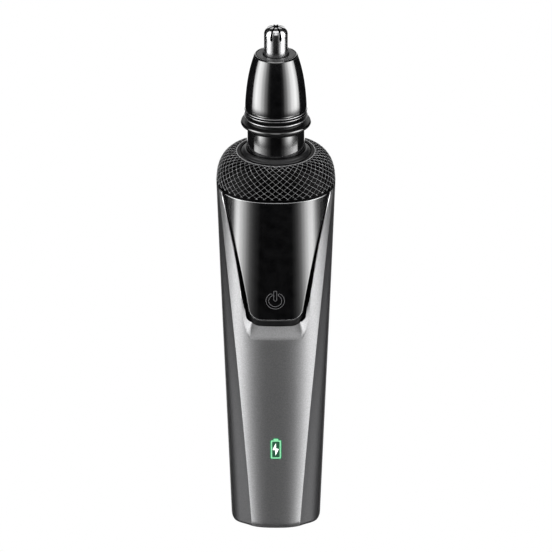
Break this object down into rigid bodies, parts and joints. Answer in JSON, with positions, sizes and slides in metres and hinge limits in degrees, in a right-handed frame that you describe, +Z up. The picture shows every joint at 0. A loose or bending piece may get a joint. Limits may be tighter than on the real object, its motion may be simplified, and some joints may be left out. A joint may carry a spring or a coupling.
{
  "type": "nose hair trimmer",
  "caption": "Cordless nose hair trimmer with a tapered handle, a hinged press panel, a knurled shoulder, a pull-off cutting head and a slotted steel tip.",
  "frame": {"origin": "centre of the flat base", "axes": "+Z up the handle to the cutter tip, -Y out of the front with the press panel, +X to the right as seen from the front"},
  "size_m": [0.036, 0.0344, 0.1644],
  "materials": {
    "silver_paint": "satin metallic",
    "black_gloss": "gloss",
    "black_satin": "satin",
    "black_rubber": "matte",
    "frame_plastic": "matte",
    "cutter_steel": "polished",
    "screw_steel": "satin",
    "can_steel": "plated",
    "core_iron": "laminated",
    "magnet_dark": "matte",
    "copper_wire": "enamelled",
    "bush_bronze": "sintered",
    "spindle_brass": "machined",
    "nickel_strip": "satin",
    "board_green": "solder mask",
    "chip_black": "matte",
    "ivory_plastic": "satin",
    "cell_sleeve": "heat-shrunk film",
    "wire_red": "wire insulation",
    "clear_guide": "clear moulding",
    "window_green": "smoked window, backlit",
    "symbol_green": "lit",
    "symbol_grey": "printed"
  },
  "bodies": {
    "handle": {"body_shell": "silver_paint", "base_cap": "black_satin", "base_seal": "black_rubber", "base_screws": "screw_steel", "inner_frame": "frame_plastic", "panel_frame": "black_satin", "panel_hinge_pin": "screw_steel", "knurled_ring": "black_satin", "shoulder_seal": "black_rubber", "socket_cup": "black_gloss", "socket_screws": "screw_steel", "motor_can": "can_steel", "motor_end_cap": "chip_black", "motor_magnets": "magnet_dark", "motor_bushes": "bush_bronze", "motor_brushes": "copper_wire", "motor_terminals": "nickel_strip", "motor_plate": "can_steel", "motor_screws": "screw_steel", "damper_sleeve": "black_rubber", "spindle_bush": "bush_bronze", "spindle_seal": "black_rubber", "main_board": "board_green", "board_screws": "screw_steel", "board_components": "chip_black", "switch_body": "chip_black", "indicator_led": "ivory_plastic", "light_guide": "clear_guide", "indicator_window": "window_green", "battery_symbol": "symbol_green", "battery_cell": "cell_sleeve", "battery_tabs": "nickel_strip", "battery_leads": "wire_red", "motor_leads": "wire_red", "charge_socket": "can_steel", "socket_tongue": "chip_black", "port_board": "board_green", "port_leads": "wire_red"},
    "rotor": {"motor_shaft": "screw_steel", "rotor_core": "core_iron", "rotor_windings": "copper_wire", "commutator": "copper_wire", "drive_spindle": "spindle_brass"},
    "panel": {"front_panel": "black_gloss", "power_symbol": "symbol_grey"},
    "switch": {"switch_plunger": "ivory_plastic"},
    "head": {"head_base": "black_gloss", "head_oring": "black_rubber", "shaft_guide": "bush_bronze"},
    "lock": {"lock_ring": "black_gloss"},
    "cap": {"cone_cap": "black_gloss", "outer_cutter": "cutter_steel", "cap_retainer": "black_satin"},
    "cutter": {"cutter_shaft": "cutter_steel", "inner_cutter": "cutter_steel", "drive_coupler": "ivory_plastic", "cutter_spring": "screw_steel"}
  },
  "joints": [
    {"name": "motor_spin", "type": "hinge", "parent": "handle", "child": "rotor", "pos_m": [0, 0, 0.09], "axis": [0, 0, 1], "continuous": true},
    {"name": "panel_press", "type": "hinge", "parent": "handle", "child": "panel", "pos_m": [0, -0.013, 0.111], "axis": [1, 0, 0], "range_deg": [0, 0.95]},
    {"name": "switch_travel", "type": "slide", "parent": "handle", "child": "switch", "axis": [0, 1, 0], "range_m": [0, 0.0005]},
    {"name": "head_release", "type": "slide", "parent": "handle", "child": "head", "axis": [0, 0, 1], "range_m": [0, 0.03]},
    {"name": "cutter_spin", "type": "hinge", "parent": "head", "child": "cutter", "pos_m": [0, 0, 0.14], "axis": [0, 0, 1], "continuous": true},
    {"name": "cap_turn", "type": "hinge", "parent": "head", "child": "lock", "pos_m": [0, 0, 0.137], "axis": [0, 0, 1], "range_deg": [0, 35]},
    {"name": "cap_lift", "type": "slide", "parent": "lock", "child": "cap", "axis": [0, 0, 1], "range_m": [0, 0.03]}
  ],
  "couplings": [
    {"joint": "switch_travel", "follows": "panel_press", "m_per_rad": 0.0295},
    {"joint": "cutter_spin", "follows": "motor_spin", "ratio": 1}
  ]
}
